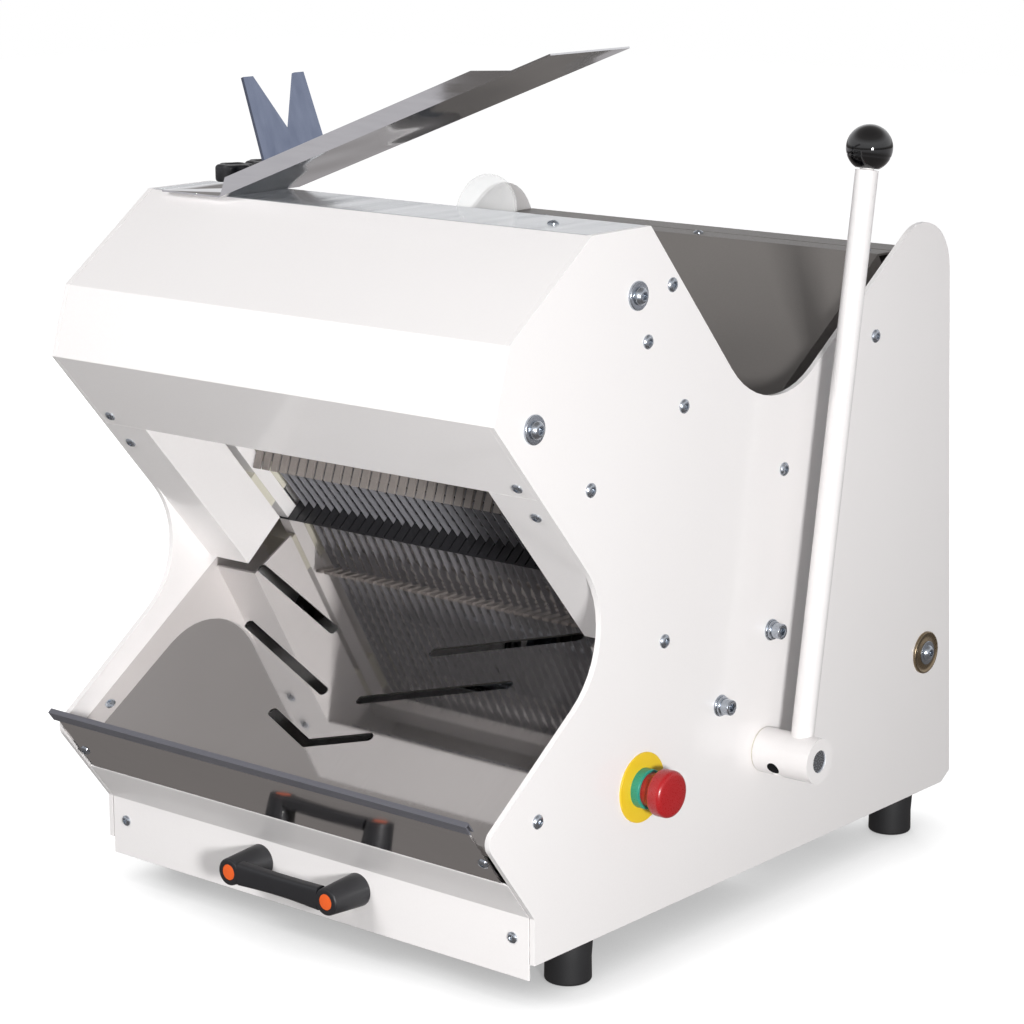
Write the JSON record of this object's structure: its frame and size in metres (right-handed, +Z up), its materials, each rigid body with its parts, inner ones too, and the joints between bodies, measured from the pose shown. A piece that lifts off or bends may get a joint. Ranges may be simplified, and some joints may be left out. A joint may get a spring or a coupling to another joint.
{
  "type": "bread slicer",
  "caption": "Table-top bread slicer with white side panels, sloping hopper, toothed blade frames, hand lever, polished outlet tray, crumb drawer and bag trough.",
  "frame": {"origin": "on the floor under the middle of the overall box", "axes": "+X towards the lever side, -Y towards the outlet and the drawer, +Z up"},
  "size_m": [0.574, 0.7007, 0.761],
  "materials": {
    "white_paint": "powder coat, slightly warm white",
    "polished_steel": "mirror polished stainless",
    "satin_steel": "satin stainless",
    "zinc_steel": "zinc plated",
    "black_rubber": "matt",
    "black_plastic": "fine grain",
    "gloss_black": "gloss phenolic",
    "nylon": "natural nylon",
    "motor_paint": "grey enamel",
    "cast_iron": "machined",
    "yellow_plastic": "plain disc",
    "green_plastic": "collar",
    "red_plastic": "mushroom",
    "orange_plastic": "caps",
    "grey_trim": "blue-grey edge trim",
    "clear_sheet": "translucent sheet"
  },
  "bodies": {
    "base": {"right_side_panel": "white_paint", "left_side_panel": "white_paint", "nose_cover": "white_paint", "top_plate": "polished_steel", "front_apron": "polished_steel", "apron_trim": "grey_trim", "outlet_tray": "polished_steel", "right_outlet_guide": "white_paint", "left_outlet_guide": "white_paint", "infeed_floor": "satin_steel", "floor_crossbar": "zinc_steel", "rear_cover": "white_paint", "rear_top_strip": "polished_steel", "side_stiffeners": "zinc_steel", "tie_bars": "zinc_steel", "rubber_feet": "black_rubber", "blade_guide_comb": "black_plastic", "frame_guides": "nylon", "motor": "motor_paint", "motor_plate": "zinc_steel", "crank_bearings": "cast_iron", "lever_bushes": "nylon", "drawer_runners": "zinc_steel", "drive_belt": "black_rubber", "cable_gland": "black_plastic", "estop_legend": "yellow_plastic", "estop_collar": "green_plastic", "estop_body": "black_plastic", "bag_trough": "polished_steel", "notched_end_plate": "satin_steel", "hopper_shield": "clear_sheet", "panel_screws": "zinc_steel", "tie_bolts": "zinc_steel", "collar_bolts": "zinc_steel", "cover_screws": "zinc_steel"},
    "lever": {"lever_shaft": "zinc_steel", "lever_hub": "white_paint", "lever_rod": "white_paint", "lever_ball": "gloss_black", "pusher_arms": "zinc_steel", "pusher_plate": "satin_steel", "pusher_screws": "zinc_steel"},
    "blade_frame_a": {"blade_frame_a": "satin_steel", "blades_a": "satin_steel"},
    "blade_frame_b": {"blade_frame_b": "satin_steel", "blades_b": "satin_steel"},
    "conrod_a": {"conrod_a": "cast_iron"},
    "conrod_b": {"conrod_b": "cast_iron"},
    "crankshaft": {"crankshaft": "zinc_steel", "driven_pulley": "cast_iron"},
    "motor_rotor": {"motor_pulley": "cast_iron"},
    "hold_down": {"hold_down_comb": "satin_steel"},
    "drawer": {"drawer_front": "white_paint", "drawer_tray": "satin_steel", "drawer_handle": "black_plastic", "handle_caps": "orange_plastic", "drawer_screws": "zinc_steel"},
    "estop_button": {"estop_button": "red_plastic"},
    "clamp_knob_front": {"clamp_knob_front": "black_plastic"},
    "clamp_knob_rear": {"clamp_knob_rear": "black_plastic"}
  },
  "joints": [
    {"name": "lever_swing", "type": "hinge", "parent": "base", "child": "lever", "pos_m": [-0.02325, 0.03923, 0.14592], "axis": [1, 0, 0], "range_deg": [0, 35]},
    {"name": "frame_a_slide", "type": "slide", "parent": "base", "child": "blade_frame_a", "axis": [0, -0.6479, 0.7617], "range_m": [-0.012, 0.012]},
    {"name": "frame_b_slide", "type": "slide", "parent": "base", "child": "blade_frame_b", "axis": [0, -0.6479, 0.7617], "range_m": [-0.012, 0.012]},
    {"name": "crank_spin", "type": "hinge", "parent": "base", "child": "crankshaft", "pos_m": [-0.02325, 0.01074, 0.2262], "axis": [1, 0, 0], "continuous": true},
    {"name": "conrod_a_turn", "type": "hinge", "parent": "crankshaft", "child": "conrod_a", "pos_m": [0.19875, 0.0016, 0.21843], "axis": [1, 0, 0], "continuous": true},
    {"name": "conrod_b_turn", "type": "hinge", "parent": "crankshaft", "child": "conrod_b", "pos_m": [-0.24525, 0.01988, 0.23397], "axis": [1, 0, 0], "continuous": true},
    {"name": "motor_spin", "type": "hinge", "parent": "base", "child": "motor_rotor", "pos_m": [0.03675, 0.19448, 0.13487], "axis": [1, 0, 0], "continuous": true},
    {"name": "hold_down_swing", "type": "hinge", "parent": "base", "child": "hold_down", "pos_m": [-0.02325, -0.10245, 0.44106], "axis": [-1, 0, 0], "range_deg": [0, 50]},
    {"name": "drawer_slide", "type": "slide", "parent": "base", "child": "drawer", "axis": [0, -1, 0], "range_m": [0, 0.3]},
    {"name": "estop_press", "type": "slide", "parent": "base", "child": "estop_button", "axis": [-1, 0, 0], "range_m": [0, 0.005], "stiffness_N_per_m": 900},
    {"name": "knob_front_turn", "type": "hinge", "parent": "base", "child": "clamp_knob_front", "pos_m": [-0.18525, -0.18429, 0.64], "axis": [0, 0, 1], "continuous": true},
    {"name": "knob_rear_turn", "type": "hinge", "parent": "base", "child": "clamp_knob_rear", "pos_m": [-0.18525, -0.14829, 0.64], "axis": [0, 0, 1], "continuous": true}
  ],
  "couplings": [
    {"joint": "frame_b_slide", "follows": "frame_a_slide", "ratio": -1},
    {"joint": "conrod_a_turn", "follows": "crank_spin", "ratio": -1},
    {"joint": "conrod_b_turn", "follows": "crank_spin", "ratio": -1},
    {"joint": "motor_spin", "follows": "crank_spin", "ratio": 2.15}
  ]
}
